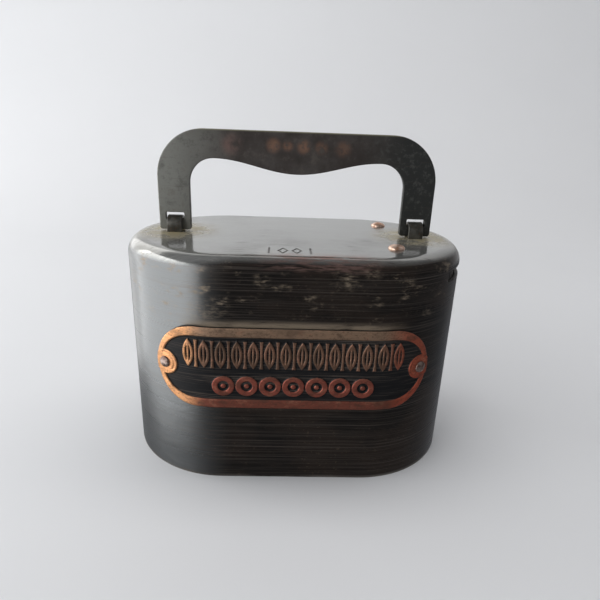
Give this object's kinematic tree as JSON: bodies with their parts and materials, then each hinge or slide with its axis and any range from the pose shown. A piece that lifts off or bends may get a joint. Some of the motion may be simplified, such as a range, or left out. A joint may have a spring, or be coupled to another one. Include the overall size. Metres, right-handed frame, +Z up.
{
  "type": "portable savings bank",
  "caption": "Oval steel savings box with a folding handle, a curved plate on its front, a coin slot with a sprung flap and a hinged base door with a key lock.",
  "frame": {"origin": "centre of the base, on the surface the box stands on", "axes": "+Z up, +X towards the end wall with the coin slot, -Y towards the front wall with the plate"},
  "size_m": [0.105, 0.0642, 0.1011],
  "materials": {
    "black_steel": "blackened steel, worn and stained, satin",
    "copper_plate": "coppered sheet, rubbed bright on the raised parts, black in the ground",
    "bright_steel": "bare steel, dulled by age",
    "browned_steel": "browned steel with rust-coloured patches where it is gripped",
    "loop_steel": "blackened steel strap, edges rubbed bright",
    "inner_sheet": "plain steel sheet, dull grey with light rust",
    "copper_rivet": "bare copper, rubbed bright on the domes",
    "spring_steel": "blued spring wire and strip",
    "base_steel": "blackened steel, scuffed",
    "lock_steel": "plain steel sheet with a grey-brown patina",
    "lock_brass": "old brass, dulled"
  },
  "bodies": {
    "box": {"body_shell": "black_steel", "name_plate": "copper_plate", "name_plate_rivets": "bright_steel", "handle_loop_left": "loop_steel", "handle_loop_right": "loop_steel", "coin_chute": "inner_sheet", "chute_rivets": "copper_rivet", "flap_pin": "bright_steel", "flap_spring": "spring_steel", "base_rim": "inner_sheet", "hinge_plate": "base_steel", "hinge_plate_rivets": "bright_steel", "hinge_pin": "bright_steel", "bolt_keeper": "inner_sheet"},
    "carrying_handle": {"handle": "browned_steel"},
    "trap_flap": {"coin_flap": "inner_sheet"},
    "door": {"base_door": "base_steel", "lock_case": "lock_steel", "lock_cover": "lock_steel", "bolt_guide_post": "bright_steel", "bolt_spring": "spring_steel", "key_post": "bright_steel", "lock_ward": "lock_brass", "lock_rivets": "bright_steel", "keyhole_escutcheon": "lock_brass", "escutcheon_pins": "lock_brass"},
    "bolt": {"lock_bolt": "lock_brass"}
  },
  "joints": [
    {"name": "handle_fold", "type": "hinge", "parent": "box", "child": "carrying_handle", "pos_m": [0, 0, 0.072], "axis": [1, 0, 0], "range_deg": [-90, 90]},
    {"name": "flap_swing", "type": "hinge", "parent": "box", "child": "trap_flap", "pos_m": [0.036, 0, 0.0662], "axis": [0, 1, 0], "range_deg": [0, 75], "stiffness_Nm_per_rad": 0.002, "springref_deg": -20.05, "deforming": ["flap_spring"]},
    {"name": "door_swing", "type": "hinge", "parent": "box", "child": "door", "pos_m": [-0.036, 0, 0.00175], "axis": [0, 1, 0], "range_deg": [0, 110]},
    {"name": "bolt_throw", "type": "slide", "parent": "door", "child": "bolt", "axis": [1, 0, 0], "range_m": [0, 0.005]}
  ]
}
